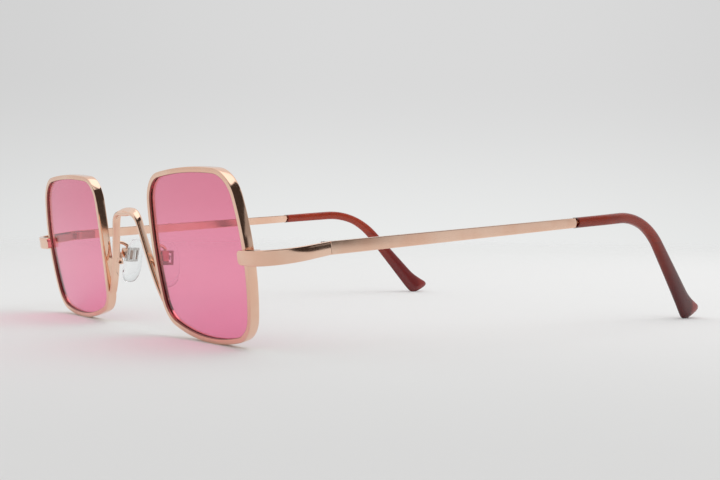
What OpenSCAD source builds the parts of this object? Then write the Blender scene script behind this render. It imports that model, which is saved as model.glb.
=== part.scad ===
// Small square metal sunglasses, open, standing on the rims and the temple tips.
// X runs across the face, +Y towards the wearer's ears, +Z up. Left is the wearer's left, +X.

/* [Rims] */
// Width of one rim, nose side to temple side
rim_w = 39.5; // [34:0.5:46]
// Height of one rim, measured between its two middle arcs
rim_h = 39; // [34:0.5:46]
// Distance between the two rims across the nose
rim_gap = 27.8; // [24:0.2:32]
// Width of the rim wire seen from the front
rim_face = 1.25; // [1:0.05:1.8]
// Depth of the rim wire, front to back
rim_depth = 2; // [1.8:0.05:2.6]
// Small flat on the rim's outer edges
rim_chamfer = 0.15; // [0.05:0.05:0.3]
// Bulge radius of the side next to the temple
side_radius = 49; // [44:1:90]
// Bulge radius of the top
top_radius = 109; // [60:1:160]
// Bulge radius of the side next to the nose
nose_radius = 103; // [60:1:160]
// Bulge radius of the bottom
bottom_radius = 50; // [44:1:90]
// Turn of the nose side, wider at the top
nose_slant = 3.1; // [0:0.1:5]
// Turn of the bottom, higher at the nose
bottom_slant = 3.8; // [0:0.1:5]
// Corner radius, top outer
corner_top_outer = 8.7; // [6:0.1:10]
// Corner radius, top inner
corner_top_inner = 7.3; // [5:0.1:9]
// Corner radius, bottom inner
corner_bottom_inner = 7.4; // [5:0.1:9]
// Corner radius, bottom outer
corner_bottom_outer = 7.5; // [5:0.1:9]
// Radius of the ball that the front of the rims and lenses follows
base_radius = 392; // [250:1:600]
// Forward lean of the front, top over bottom
lean = 9.1; // [4:0.1:12]
// Turn of each rim towards the side of the face
wrap = 1.7; // [0:0.1:5]

/* [Lenses] */
// Thickness of a lens
lens_t = 1.2; // [1:0.05:1.4]
// How far the lens edge reaches into the rim
lens_bite = 0.45; // [0.3:0.05:0.6]
// Gap between the lens edge and its groove
lens_clear = 0.04; // [0.02:0.01:0.1]

/* [Bridge] */
// Width of the bridge wire seen from the front
bridge_face = 1.25; // [1:0.05:1.6]
// Depth of the bridge wire in its legs
bridge_depth = 1.9; // [1.4:0.05:2.2]
// Depth of the bridge wire at its top, where it is pressed flat
bridge_crest = 2.6; // [1.9:0.05:2.8]
// Height of the middle of the bridge above the rim centres
bridge_rise = 9.7; // [7:0.1:12]
// Half length of the flat top of the bridge
bridge_flat = 2.5; // [1:0.1:4]
// Radius of the two bends beside the flat top
bridge_bend = 4.2; // [3.5:0.1:6]
// Splay of the bridge legs from upright
bridge_splay = 20; // [12:1:28]
// How far below the rim centres the legs meet the rims
bridge_foot = 10.8; // [8:0.1:12]
// Backward roll of the flat top, so that it lies on the nose
bridge_roll = 42; // [0:1:50]
// How far the bridge sits behind the front of the rims
bridge_set = 0.3; // [0.1:0.05:0.8]

/* [End pieces] */
// Thickness of the end piece strip
end_t = 1.1; // [0.9:0.05:1.4]
// Height of the strip on the rim
end_h = 3.15; // [2.8:0.05:3.6]
// Height of the strip at the hinge
end_h_back = 2.75; // [2.6:0.05:3.2]
// Height of the strip's middle above the rim centres
end_v = 0.3; // [-2:0.1:4]
// How far the strip reaches over the lens, inside of the rim
end_overlap = 0.55; // [0.2:0.05:0.9]
// How far the strip's outer side stands out beyond the rim
end_reach = 11.5; // [9:0.1:14]
// Length of the strip back to the hinge
end_len = 14.3; // [11:0.1:18]
// Outer radius of the strip's bend
end_bend = 9; // [5:0.1:9]

/* [Rim locks] */
// Height of one lock block pair
lock_h = 2.5; // [2.4:0.1:3]
// Width and depth of a lock block
lock_w = 2.1; // [1.9:0.1:2.6]
// Gap where the rim is slit and the two blocks face each other
lock_slit = 0.16; // [0.1:0.02:0.3]
// Radius of the lock screw
lock_screw_r = 0.5; // [0.4:0.05:0.6]

/* [Hinges] */
// Radius of the hinge knuckles
knuckle_r = 1.15; // [1:0.05:1.4]
// Height of the three knuckles together
knuckle_h = 2.2; // [2.1:0.1:2.5]
// Radius of the hinge screw
pin_r = 0.5; // [0.4:0.05:0.6]
// Thickness of the hinge leaves
leaf_t = 0.7; // [0.5:0.05:0.8]
// Length of the hinge leaves beyond the knuckles
leaf_len = 4.4; // [3:0.1:5]
// Gap between facing knuckles
knuckle_gap = 0.05; // [0.03:0.01:0.1]
// Gap round the screws in their bores
bore_clear = 0.03; // [0.02:0.01:0.08]

/* [Temples] */
// Thickness of the arm
arm_t = 1.1; // [0.9:0.05:1.4]
// Height of the arm at the sleeve
arm_h_end = 2.4; // [2:0.05:2.6]
// Rise of the arm towards the ear
arm_rise = 4.1; // [0:0.1:8]
// Length of the arm from the hinge to the sleeve
arm_len = 76; // [65:0.5:85]
// Length from the hinge to the start of the ear bend
bend_start = 93.8; // [88:0.1:105]
// Radius of the ear bend
bend_radius = 26; // [20:0.5:34]
// Slope of the tip below level
tip_slope = 43.5; // [35:0.5:55]
// How far the end of the tip curves in towards the head
tip_in = 5.3; // [0:0.1:9]
// Radius of the core wire inside the sleeve
core_r = 0.55; // [0.4:0.05:0.6]
// Height of the sleeve in the bend
sleeve_h = 2.75; // [2.5:0.05:3.2]
// Thickness of the sleeve in the bend
tip_t = 2.5; // [2.2:0.1:3]
// Height of the sleeve near its end
tip_w = 6.2; // [4:0.1:7]
// Length over which the sleeve widens to its end
paddle_len = 40; // [24:1:44]

/* [Nose pads] */
// Length of a nose pad
pad_len = 11.3; // [9:0.1:13]
// Width of a nose pad
pad_w = 6.7; // [5:0.1:8]
// Thickness of a nose pad
pad_t = 2; // [1.8:0.1:2.4]
// Distance from the middle of the nose to the middle of a pad
pad_x = 9.4; // [8.8:0.1:10]
// Distance of the pad middle behind the bridge
pad_back = 5; // [4.6:0.1:6]
// Height of the pad middle below the rim centres
pad_drop = 2.9; // [1.6:0.1:4]
// Splay of a pad towards the face
pad_splay = 30; // [20:1:38]
// Tilt of a pad, closer to the nose at the top
pad_tilt = 10.5; // [5:0.5:16]
// Radius of the pad arm wire
pad_wire_r = 0.4; // [0.35:0.05:0.45]
// Radius of the pad screw
pad_screw_r = 0.4; // [0.3:0.05:0.45]

/* [Hidden] */
$fn = 48;

// Solder gap between two pieces that are joined face to face
solder = 0.05;
left = 1;
right = -1;

// Steps of the rim outline: one corner and one side
corner_steps = 8;
side_steps = 6;

// Rim outline: four arcs for the sides and four for the corners, all tangent.
// Sides in order: temple side, top, nose side, bottom. u points outward, v up.
side_turn = [1.1, 0, nose_slant, -bottom_slant];
side_dist = [rim_w / 2, rim_h / 2, rim_w / 2, rim_h / 2];
side_rad = [side_radius, top_radius, nose_radius, bottom_radius];
corner_rad = [corner_top_outer, corner_top_inner, corner_bottom_inner, corner_bottom_outer];
function dir(a) = [cos(a), sin(a)];
function side_dir(i) = dir(90 * i + side_turn[i]);
function side_centre(i) = side_dir(i) * (side_dist[i] - side_rad[i]);
function heading(p) = atan2(p[1], p[0]);
// Where two circles cross, on the side that pref points to
function crossing(c1, r1, c2, r2, pref) =
  let (d = c2 - c1, l = norm(d), a = (r1 * r1 - r2 * r2 + l * l) / (2 * l))
  let (h = sqrt(r1 * r1 - a * a), n = [-d[1], d[0]] / l, m = c1 + d * a / l)
  (n * pref > 0) ? m + h * n : m - h * n;
function corner_centre(i) = let (j = (i + 1) % 4) crossing(
  side_centre(i), side_rad[i] - corner_rad[i],
  side_centre(j), side_rad[j] - corner_rad[i], side_dir(i) + side_dir(j));
corner_mid = [for (i = [0:3]) corner_centre(i)];
// The two angles at which side i runs into its corners
function side_from(i) = heading(corner_mid[(i + 3) % 4] - side_centre(i));
function side_to(i) = heading(corner_mid[i] - side_centre(i));
function near(a, b) = b + (a - b) - 360 * round((a - b) / 360);
function arc(c, r, from, to, n) = let (last = near(to, from)) [
  for (k = [0:n - 1]) c + r * dir(from + (last - from) * k / n)];
function side_arc(i, off, from, to) =
  arc(side_centre(i), side_rad[i] - off, from, to, side_steps);
function corner_arc(i, off) = let (j = (i + 1) % 4)
  arc(corner_mid[i], corner_rad[i] - off, heading(corner_mid[i] - side_centre(i)),
    heading(corner_mid[i] - side_centre(j)), corner_steps);
// Angle on the temple side at which a height v lies
function side_angle(v) = asin((v - side_centre(0)[1]) / side_rad[0]);
slit_top = side_angle(end_v + lock_slit / 2);
slit_bottom = side_angle(end_v - lock_slit / 2);
// Open outline: from the slit up, round and back to the slit
function open_outline(off) = [
  each side_arc(0, off, slit_top, side_to(0)),
  each corner_arc(0, off),
  each side_arc(1, off, side_from(1), side_to(1)),
  each corner_arc(1, off),
  each side_arc(2, off, side_from(2), side_to(2)),
  each corner_arc(2, off),
  each side_arc(3, off, side_from(3), side_to(3)),
  each corner_arc(3, off),
  each side_arc(0, off, side_from(0), slit_bottom),
  side_centre(0) + (side_rad[0] - off) * dir(slit_bottom)];
function closed_outline(off) = [
  for (i = [0:3]) each concat(side_arc(i, off, side_from(i), side_to(i)), corner_arc(i, off))];

// Place of a rim point: u outward, w backward, v up, in the leaning and turned rim
function sag(u, v) = (u * u + v * v) / (2 * base_radius);
function rim_vec(u, w, v) = let (y = w * cos(lean) - v * sin(lean))
  [u * cos(wrap) - y * sin(wrap), u * sin(wrap) + y * cos(wrap), w * sin(lean) + v * cos(lean)];
rim_x = rim_gap / 2 + rim_w / 2;
rim_z = -min([for (p = open_outline(0)) rim_vec(p[0], sag(p[0], p[1]) + rim_chamfer, p[1])[2]]);
function rim_at(u, w, v) = [rim_x, 0, rim_z] + rim_vec(u, w, v);

// Rim wire: outer edges chamfered, a V groove for the lens inside
groove_mid = rim_depth / 2;
groove_open = lens_t / 2 + lens_clear;
groove_deep = rim_face - lens_bite - lens_clear;
rim_section = [
  [rim_chamfer, 0], [rim_face, 0], [rim_face, groove_mid - groove_open],
  [groove_deep, groove_mid], [rim_face, groove_mid + groove_open], [rim_face, rim_depth],
  [rim_chamfer, rim_depth], [0, rim_depth - rim_chamfer], [0, rim_chamfer]];
rim_lines = [for (q = rim_section) open_outline(q[0])];
rim_edge = open_outline(0);
rim_rings = [for (k = [0:len(rim_edge) - 1]) [for (j = [0:len(rim_section) - 1])
  rim_at(rim_lines[j][k][0], rim_section[j][1] + sag(rim_edge[k][0], rim_edge[k][1]),
    rim_lines[j][k][1])]];

// Lens: rings from the middle of the front to the middle of the back, edge in a V
lens_reach = rim_face - lens_bite;
lens_seat = rim_face - lens_clear;
lens_tiny = 0.02;
lens_steps = [
  [lens_seat, -lens_t / 2, lens_tiny], [lens_seat, -lens_t / 2, 0.5], [lens_seat, -lens_t / 2, 1],
  [lens_reach, 0, 1], [lens_seat, lens_t / 2, 1], [lens_seat, lens_t / 2, 0.5],
  [lens_seat, lens_t / 2, lens_tiny]];
lens_edge = closed_outline(0);
lens_rings = [for (q = lens_steps) let (line = closed_outline(q[0])) [
  for (k = [0:len(line) - 1]) let (s = line[k] * q[2], e = lens_edge[k] * q[2])
    rim_at(s[0], groove_mid + q[1] + sag(e[0], e[1]), s[1])]];

// Bridge line: flat top, bend and splayed leg that ends against the rim
leg_turn = 90 - bridge_splay;
bend_end = [bridge_flat + bridge_bend * sin(leg_turn),
  bridge_rise - bridge_bend * (1 - cos(leg_turn))];
// Nose side of the rim at a height v, measured from the middle of the nose
function nose_edge(v) = let (c = side_centre(2))
  rim_x + (c[0] - sqrt(pow(nose_radius, 2) - pow(v - c[1], 2))) * cos(wrap);
leg_end = [nose_edge(-bridge_foot) - bridge_face / 2 - 2 * solder, -bridge_foot];
leg_end_splay = 36;
leg_pull = norm(leg_end - bend_end) / 3;
leg_near = bend_end + leg_pull * [sin(bridge_splay), -cos(bridge_splay)];
leg_far = leg_end - leg_pull * [sin(leg_end_splay), -cos(leg_end_splay)];
function bezier(a, b, c, d, t) =
  a * pow(1 - t, 3) + 3 * b * t * pow(1 - t, 2) + 3 * c * t * t * (1 - t) + d * pow(t, 3);
flat_steps = 3;
bend_steps = 9;
leg_steps = 10;
half_bridge = [
  for (k = [0:flat_steps - 1]) [bridge_flat * k / flat_steps, bridge_rise],
  for (k = [0:bend_steps - 1]) let (a = leg_turn * k / bend_steps)
    [bridge_flat + bridge_bend * sin(a), bridge_rise - bridge_bend * (1 - cos(a))],
  for (k = [0:leg_steps]) bezier(bend_end, leg_near, leg_far, leg_end, k / leg_steps)];
half_count = len(half_bridge);
bridge_line = [
  for (k = [half_count - 1:-1:1]) [-half_bridge[k][0], half_bridge[k][1]],
  each half_bridge];
function line_dir(l, k) = let (d = l[min(k + 1, len(l) - 1)] - l[max(k - 1, 0)]) d / norm(d);
function ease(t) = let (c = min(max(t, 0), 1)) c * c * (3 - 2 * c);
roll_length = bridge_bend * 1.6;
function crest_share(p) = ease(1 - (bridge_rise - p[1]) / roll_length);
function swell_at(p) = 1 + (bridge_crest / bridge_depth - 1) * crest_share(p);
bridge_edge = 0.2;
bridge_a = bridge_face / 2;
bridge_b = bridge_depth / 2;
bridge_section = [
  [bridge_a - bridge_edge, -bridge_b], [bridge_a, -bridge_b + bridge_edge],
  [bridge_a, bridge_b - bridge_edge], [bridge_a - bridge_edge, bridge_b],
  [-bridge_a + bridge_edge, bridge_b], [-bridge_a, bridge_b - bridge_edge],
  [-bridge_a, -bridge_b + bridge_edge], [-bridge_a + bridge_edge, -bridge_b]];
// A point of the leaning bridge plane: x across, w back, v up
nose_front = rim_at(-rim_w / 2, sag(rim_w / 2, 0), 0)[1];
bridge_y = nose_front + bridge_set + bridge_b;
function bridge_at(x, w, v) =
  [x, bridge_y + w * cos(lean) - v * sin(lean), rim_z + w * sin(lean) + v * cos(lean)];
bridge_rings = [for (k = [0:len(bridge_line) - 1])
  let (p = bridge_line[k], t = line_dir(bridge_line, k), n = [-t[1], t[0]])
  let (a = bridge_roll * crest_share(p), s = swell_at(p))
  [for (q = bridge_section) let (o = q[0] * cos(a) + q[1] * s * sin(a), w = q[1] * s * cos(a) - q[0] * sin(a))
    bridge_at(p[0] + n[0] * o, w, p[1] + n[1] * o)]];

// End piece: a strip bent in plan, in a frame that leans with the rims
rim_side = rim_x + (rim_w / 2) * cos(wrap);
side_x = rim_side + end_reach;
end_start = rim_side - rim_face - end_overlap;
lens_side_front = rim_at(rim_w / 2 - rim_face, sag(rim_w / 2 - rim_face, end_v), end_v);
end_y = lens_side_front[1]
  + ((lens_side_front[2] - rim_z) * sin(lean) - end_t - solder) / cos(lean);
module in_end_frame() {
  translate([0, end_y, rim_z]) rotate([lean, 0, 0]) translate([0, 0, end_v]) children();
}
// World place of the hinge seam's middle
seam_y = end_y + end_len * cos(lean) - end_v * sin(lean);
seam_z = rim_z + end_len * sin(lean) + end_v * cos(lean);
seam_gap = 0.05;
inner_x = side_x - end_t;

// Hinge axis: upright, beside the inner face of the strip, at the seam
hinge_x = inner_x - solder - knuckle_r;
hinge_y = seam_y + seam_gap / 2;
hinge_drop = 0.15;
hinge_z = seam_z - hinge_drop;
knuckle_top = knuckle_h / 2;
middle_top = knuckle_h / 6;
head_h = 0.3;
head_r = 0.85;

// Temple line: straight arm, ear bend, sloping tip that ends on the floor
arm_x = side_x - arm_t / 2;
bend_turn = arm_rise + tip_slope;
bend_arc = bend_radius * bend_turn * PI / 180;
bend_from = [seam_y + bend_start * cos(arm_rise), seam_z + bend_start * sin(arm_rise)];
bend_to = bend_from + bend_radius
  * [sin(arm_rise) + sin(tip_slope), cos(tip_slope) - cos(arm_rise)];
function mix(a, b, t) = a + (b - a) * t;
function stage(s, a, b) = min(max((s - a) / (b - a), 0), 1);
squareness = 0.82;
function soft(c) = sign(c) * pow(abs(c), squareness);
tip_sides = 12;

// Sleeve at a distance d before its end: the rear edge flares last, the front edge widens all along
sleeve_half = sleeve_h / 2;
flare_len = 9;
end_flare = 3;
widen_power = 1.15;
end_skew = 22;
tip_round = 2.4;
function rear_half(d) = sleeve_half + end_flare * pow(stage(-d, -flare_len, 0), 2);
function front_half(d) = sleeve_half + (tip_w - sleeve_h) * pow(stage(-d, -paddle_len, 0), widen_power);
function paddle_turn(d) = -tip_slope - end_skew * ease(stage(-d, -flare_len, 0));
function paddle_half(d) = (rear_half(d) + front_half(d)) / 2;
function paddle_shift(d) = (rear_half(d) - front_half(d)) / 2;
function end_round(d) = sqrt(max(1 - pow(stage(-d, -tip_round, 0), 2), 0.0004));
function end_narrow(d) = pow(end_round(d), 0.7);
tip_low = soft(cos(180 / tip_sides));
floor_drop = -min([for (d = [0:0.2:flare_len]) d * sin(tip_slope)
  + (paddle_shift(d) - tip_low * paddle_half(d) * end_narrow(d)) * cos(paddle_turn(d))]);
leg_len = (bend_to[1] - floor_drop) / sin(tip_slope);
temple_len = bend_start + bend_arc + leg_len;
// Slope of the temple line at a length s from the hinge, and its place
function slope_at(s) = arm_rise - bend_turn * min(max((s - bend_start) / bend_arc, 0), 1);
function line_at(s) =
  s < bend_start
  ? [seam_y + s * cos(arm_rise), seam_z + s * sin(arm_rise)]
  : s < bend_start + bend_arc
  ? bend_from + bend_radius
    * [sin(arm_rise) - sin(slope_at(s)), cos(slope_at(s)) - cos(arm_rise)]
  : bend_to + (s - bend_start - bend_arc) * [cos(tip_slope), -sin(tip_slope)];
inward_from = bend_start - 6;
function inward_at(s) = tip_in * pow(stage(s, inward_from, temple_len), 1.15);
// A point beside the temple line: x across, n up from it, at length s, section turned to angle a
function temple_at(s, x, n, a) = let (p = line_at(s))
  [arm_x - inward_at(s) + x, p[0] - n * sin(a), p[1] + n * cos(a)];

arm_edge = 0.22;
function arm_section(a, b, e) = [
  [a - e, -b], [a, -b + e], [a, b - e], [a - e, b],
  [-a + e, b], [-a, b - e], [-a, -b + e], [-a + e, -b]];
function arm_ring(s, a, b, e, turn) = [for (q = arm_section(a, b, e)) temple_at(s, q[0], q[1], turn)];
function arm_half(s) = (end_h_back + (arm_h_end - end_h_back) * s / arm_len) / 2;
core_short = 9;
core_len = temple_len - core_short;
core_step = 2.6;
core_bevel = 0.58;
core_edge = core_r * core_bevel;
shoulder = 0.05;
core_from = arm_len + shoulder;
core_count = ceil((core_len - core_from) / core_step);
function core_s(k) = core_from + (core_len - core_from) * k / core_count;
temple_rings = [
  arm_ring(seam_gap, arm_t / 2, arm_half(0), arm_edge, lean),
  arm_ring(1, arm_t / 2, arm_half(1), arm_edge, slope_at(1)),
  for (k = [1:4]) arm_ring(arm_len * k / 4, arm_t / 2, arm_half(arm_len * k / 4), arm_edge, arm_rise),
  for (k = [0:core_count]) arm_ring(core_s(k), core_r, core_r, core_edge, slope_at(core_s(k)))];

// Sleeve: an oval that widens into a paddle, with a channel for the core wire
tip_from = arm_len + 2 * shoulder;
// A ring of few points lies inside its circle, so the channel is made a little wider
channel_spare = 1.08;
channel_r = (core_r + lens_clear) * channel_spare;
channel_end = core_len + 0.3;
mouth_half = arm_h_end / 2 + 0.05;
mouth_t = 1.9;
function sleeve_start(s) = ease(stage(s, tip_from, bend_start));
function tip_half(s) = mix(mouth_half - sleeve_half, 0, sleeve_start(s)) + paddle_half(temple_len - s);
function tip_thick(s) = mix(mouth_t, tip_t, sleeve_start(s)) / 2;
function tip_turn(s) = s < temple_len - flare_len ? slope_at(s) : paddle_turn(temple_len - s);
function oval(s, a, b, shift) = [
  for (k = [0:tip_sides - 1]) let (t = 360 * (k + 0.5) / tip_sides - 90)
    temple_at(s, a * soft(cos(t)), b * soft(sin(t)) + shift, tip_turn(s))];
function sleeve_ring(s) = let (d = temple_len - s)
  oval(s, tip_thick(s) * end_round(d), tip_half(s) * end_narrow(d), paddle_shift(d));
sleeve_step = 2.4;
sleeve_count = ceil((temple_len - tip_round - tip_from) / sleeve_step);
function sleeve_s(k) = tip_from + (temple_len - tip_round - tip_from) * k / sleeve_count;
channel_count = ceil((channel_end - tip_from) / core_step);
function channel_s(k) = tip_from + (channel_end - tip_from) * k / channel_count;
round_steps = 5;
function round_s(k) = temple_len - tip_round * (1 - sin(90 * k / round_steps));
tip_rings = [
  for (k = [channel_count:-1:0]) oval(channel_s(k), channel_r, channel_r, 0),
  for (k = [0:sleeve_count]) sleeve_ring(sleeve_s(k)),
  for (k = [1:round_steps]) sleeve_ring(round_s(k))];

// Middle of the whole length, so that the origin lies under it
front_y = min([for (r = rim_rings) for (p = r) p[1]]);
back_y = max([for (r = tip_rings) for (p = r) p[1]]);
mid_y = (front_y + back_y) / 2;
module placed(side) {
  translate([0, -mid_y, 0]) mirror([side < 0 ? 1 : 0, 0, 0]) children();
}

// Nose pad frame: x along the pad's outward normal, y along its width, z along its length
pad_y = bridge_y + pad_back;
pad_z = rim_z - pad_drop;
module in_pad_frame() {
  translate([pad_x, pad_y, pad_z]) rotate([0, 0, -pad_splay]) rotate([0, -pad_tilt, 0]) children();
}
// World place of a point given in the pad frame
function pad_at(p) =
  let (x = p[0] * cos(pad_tilt) - p[2] * sin(pad_tilt), z = p[0] * sin(pad_tilt) + p[2] * cos(pad_tilt))
  [pad_x + x * cos(pad_splay) + p[1] * sin(pad_splay),
    pad_y - x * sin(pad_splay) + p[1] * cos(pad_splay), pad_z + z];
// Metal insert in the pad's back, with a tab that the pad screw passes through
insert_t = 0.4;
insert_w = 3.8;
insert_h = 3.5;
insert_sunk = 0.1;
insert_x = pad_t / 2 - insert_t - insert_sunk;
tab_t = 0.9;
tab_r = 0.8;
tab_z = 1.5;
tab_out = 1.15;
tab_x = pad_t / 2 + tab_out;
// Box that holds the tab between two walls
box_wall = 0.4;
box_gap = 0.06;
box_h = 2.4;
box_off = 0.4;
box_spare = 0.12;
box_from = pad_t / 2 + box_off;
box_to = tab_x + tab_r + box_spare + box_wall;
box_half = tab_t / 2 + box_gap + box_wall;
pad_head_r = 0.65;
pad_head_h = 0.3;
module at_tab() {
  in_pad_frame() translate([tab_x, 0, tab_z]) rotate([-90, 0, 0]) children();
}

// Pad arm line: off the back of a bridge leg, out and up in a loop, and down to the box
function leg_x(v) = lookup(v, [for (i = [half_count - 1:-1:0]) [half_bridge[i][1], half_bridge[i][0]]]);
root_v = -3.2;
pad_root = bridge_at(leg_x(root_v), bridge_b + pad_wire_r + solder, root_v);
box_top = pad_at([(box_from + box_to) / 2, 0, tab_z + box_h / 2 + solder]);
box_down = pad_at([0, 0, -1]) - pad_at([0, 0, 0]);
arm_line_points = [
  pad_root + [-0.2, -0.05, -0.9], pad_root, pad_root + [1, 0.1, 1.8], pad_root + [2.3, -0.5, 3.3],
  box_top + [1.3, -2.6, 1.3], box_top + [0.7, -1.2, 1.4], box_top + [0.1, -0.1, 0.7],
  box_top, box_top + box_down];
wire_steps = 4;
function catmull(a, b, c, d, t) = 0.5 * (2 * b + (c - a) * t + (2 * a - 5 * b + 4 * c - d) * t * t
  + (3 * b - a - 3 * c + d) * t * t * t);
wire_line = [
  for (i = [1:len(arm_line_points) - 3]) each [for (k = [0:wire_steps - 1])
    catmull(arm_line_points[i - 1], arm_line_points[i], arm_line_points[i + 1],
      arm_line_points[i + 2], k / wire_steps)],
  box_top];
wire_sides = 8;
wire_ref = [0.7, -0.7, 0];
function wire_dir(k) = k == len(wire_line) - 1 ? box_down : line_dir(wire_line, k);
wire_rings = [for (k = [0:len(wire_line) - 1])
  let (t = wire_dir(k), e = cross(t, wire_ref), f = e / norm(e), g = cross(t, f))
  [for (j = [0:wire_sides - 1]) let (a = 360 * j / wire_sides)
    wire_line[k] + pad_wire_r * (cos(a) * f + sin(a) * g)]];

// Pad rings: domed towards the nose, flat at the back
pad_sides = 24;
pad_steps = [
  [-0.5, 0.02], [-0.49, 0.4], [-0.42, 0.72], [-0.28, 0.9], [0, 1], [0.25, 1], [0.42, 0.93], [0.5, 0.82]];
function pad_ring(x, k) = [for (j = [0:pad_sides - 1]) let (a = -360 * j / pad_sides)
  [x * pad_t, k * pad_w / 2 * soft(cos(a)) * (1 - 0.14 * sin(a)), k * pad_len / 2 * soft(sin(a))]];
pad_rings = [for (q = pad_steps) pad_ring(q[0], q[1])];

// Joins rings of equal point count into one closed solid
module skin(rings) {
  n = len(rings[0]);
  m = len(rings);
  points = [for (r = rings) each r];
  sides = [for (i = [0:m - 2]) for (j = [0:n - 1]) let (a = i * n + j, b = i * n + (j + 1) % n)
    each [[a, b, a + n], [b, b + n, a + n]]];
  first = [for (j = [n - 1:-1:0]) j];
  last = [for (j = [0:n - 1]) (m - 1) * n + j];
  polyhedron(points = points, faces = concat([first], sides, [last]), convexity = 10);
}

gold = "#E9BFA0";
rose = "#D9A58A";
steel = "#B9B4B0";
red_brown = "#7A2E2A";
clear = "#DFE4E6";
pink = "#E08FAE";

module rim(side) {
  color(gold) placed(side) skin(rim_rings);
}

module lens(side) {
  color(pink) placed(side) skin(lens_rings);
}

module bridge() {
  color(gold) placed(left) skin(bridge_rings);
}

// Plan of the strip: from the rim out to the bend and back to the hinge
module strip_plan() {
  in_r = end_bend - end_t;
  translate([end_start, 0]) square([side_x - end_bend - end_start, end_t]);
  translate([side_x - end_bend, end_bend]) intersection() {
    difference() {
      circle(end_bend);
      circle(in_r);
    }
    translate([0, -end_bend]) square(end_bend);
  }
  translate([inner_x, end_bend]) square([end_t, end_len - end_bend]);
}

// Side view of the strip: full height on the rim, tapering to the hinge
module strip_side() {
  polygon([
    [-1, -end_h / 2], [end_t, -end_h / 2], [end_len, -end_h_back / 2],
    [end_len, end_h_back / 2], [end_t, end_h / 2], [-1, end_h / 2]]);
}

// Rounded free end of the strip, seen from the front
module strip_front() {
  round_r = 1.1;
  for (z = [-1, 1]) {
    translate([end_start + round_r, z * (end_h / 2 - round_r)]) circle(round_r);
  }
  translate([end_start, round_r - end_h / 2]) square([round_r, end_h - 2 * round_r]);
  translate([end_start + round_r, -end_h / 2]) square([side_x - end_start, end_h]);
}

module end_piece(side) {
  color(gold) placed(side) in_end_frame() intersection() {
    translate([0, 0, -end_h]) linear_extrude(2 * end_h) strip_plan();
    rotate([90, 0, 90]) linear_extrude(side_x + 1) strip_side();
    translate([0, end_len + 1, 0]) rotate([90, 0, 0]) linear_extrude(end_len + 2) strip_front();
  }
}

// Two facing blocks behind the end piece, one on each side of the rim's slit
lock_x = rim_at(rim_w / 2, 0, end_v)[0] + solder;
lock_y = end_t + 2 * solder;
lock_hole = [lock_x + lock_w / 2, lock_y + lock_w / 2];
module rim_lock(side) {
  half_h = (lock_h - lock_slit) / 2;
  color(rose) placed(side) in_end_frame() difference() {
    for (z = [lock_slit / 2, -lock_slit / 2 - half_h]) {
      translate([lock_x, lock_y, z]) cube([lock_w, lock_w, half_h]);
    }
    translate([lock_hole[0], lock_hole[1], -lock_h]) cylinder(h = 2 * lock_h, r = lock_screw_r + bore_clear);
  }
}

module rim_lock_screw(side) {
  lock_head_h = 0.35;
  lock_head_r = 0.85;
  color(steel) placed(side) in_end_frame() translate([lock_hole[0], lock_hole[1], 0]) {
    translate([0, 0, -lock_h / 2 - solder]) cylinder(h = lock_h + solder, r = lock_screw_r);
    translate([0, 0, -lock_h / 2 - solder - lock_head_h]) cylinder(h = lock_head_h, r = lock_head_r);
  }
}

// One knuckle of the hinge between two heights above its middle
module knuckle(from, to) {
  translate([hinge_x, hinge_y, hinge_z + from]) cylinder(h = to - from, r = knuckle_r);
}

module pin_bore() {
  translate([hinge_x, hinge_y, hinge_z - knuckle_h]) cylinder(h = 2 * knuckle_h, r = pin_r + bore_clear);
}

// Flat leaf on the inner face of a strip, along its slope; away is -1 to the front and +1 to the rear
leaf_near = sqrt(pow(knuckle_r + knuckle_gap, 2) - pow(knuckle_r - leaf_t, 2)) + knuckle_gap;
leaf_x = inner_x - solder - leaf_t;
module leaf(away, low, high, slope) {
  near_y = away * leaf_near;
  far_y = away * (leaf_near + leaf_len);
  near_up = near_y * tan(slope);
  far_up = far_y * tan(slope);
  translate([leaf_x, hinge_y, hinge_z]) rotate([90, 0, 90]) linear_extrude(leaf_t) polygon([
    [near_y, low + near_up], [far_y, low + far_up], [far_y, high + far_up], [near_y, high + near_up]]);
}

// Web that joins a leaf to the knuckle at the same height
module web(away, low, high) {
  y = hinge_y + (away > 0 ? 0 : -leaf_near - leaf_t);
  translate([leaf_x, y, hinge_z + low]) cube([leaf_t, leaf_near + leaf_t, high - low]);
}

module front_hinge(side) {
  color(rose) placed(side) difference() {
    union() {
      for (z = [[-knuckle_top, -middle_top - knuckle_gap], [middle_top + knuckle_gap, knuckle_top]]) {
        knuckle(z[0], z[1]);
        web(-1, z[0], z[1]);
      }
      leaf(-1, -knuckle_top, knuckle_top, lean);
    }
    pin_bore();
  }
}

module temple_hinge(side) {
  color(rose) placed(side) difference() {
    union() {
      knuckle(-middle_top, middle_top);
      web(1, -middle_top, middle_top);
      leaf(1, -knuckle_top, knuckle_top, arm_rise);
    }
    pin_bore();
  }
}

module hinge_screw(side) {
  color(steel) placed(side) translate([hinge_x, hinge_y, hinge_z]) {
    translate([0, 0, -knuckle_top]) cylinder(h = knuckle_h + solder, r = pin_r);
    translate([0, 0, knuckle_top + solder]) cylinder(h = head_h, r = head_r);
  }
}

module temple(side) {
  color(gold) placed(side) skin(temple_rings);
}

module temple_tip(side) {
  color(red_brown) placed(side) skin(tip_rings);
}

module pad_arm(side) {
  color(gold) placed(side) skin(wire_rings);
}

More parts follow.
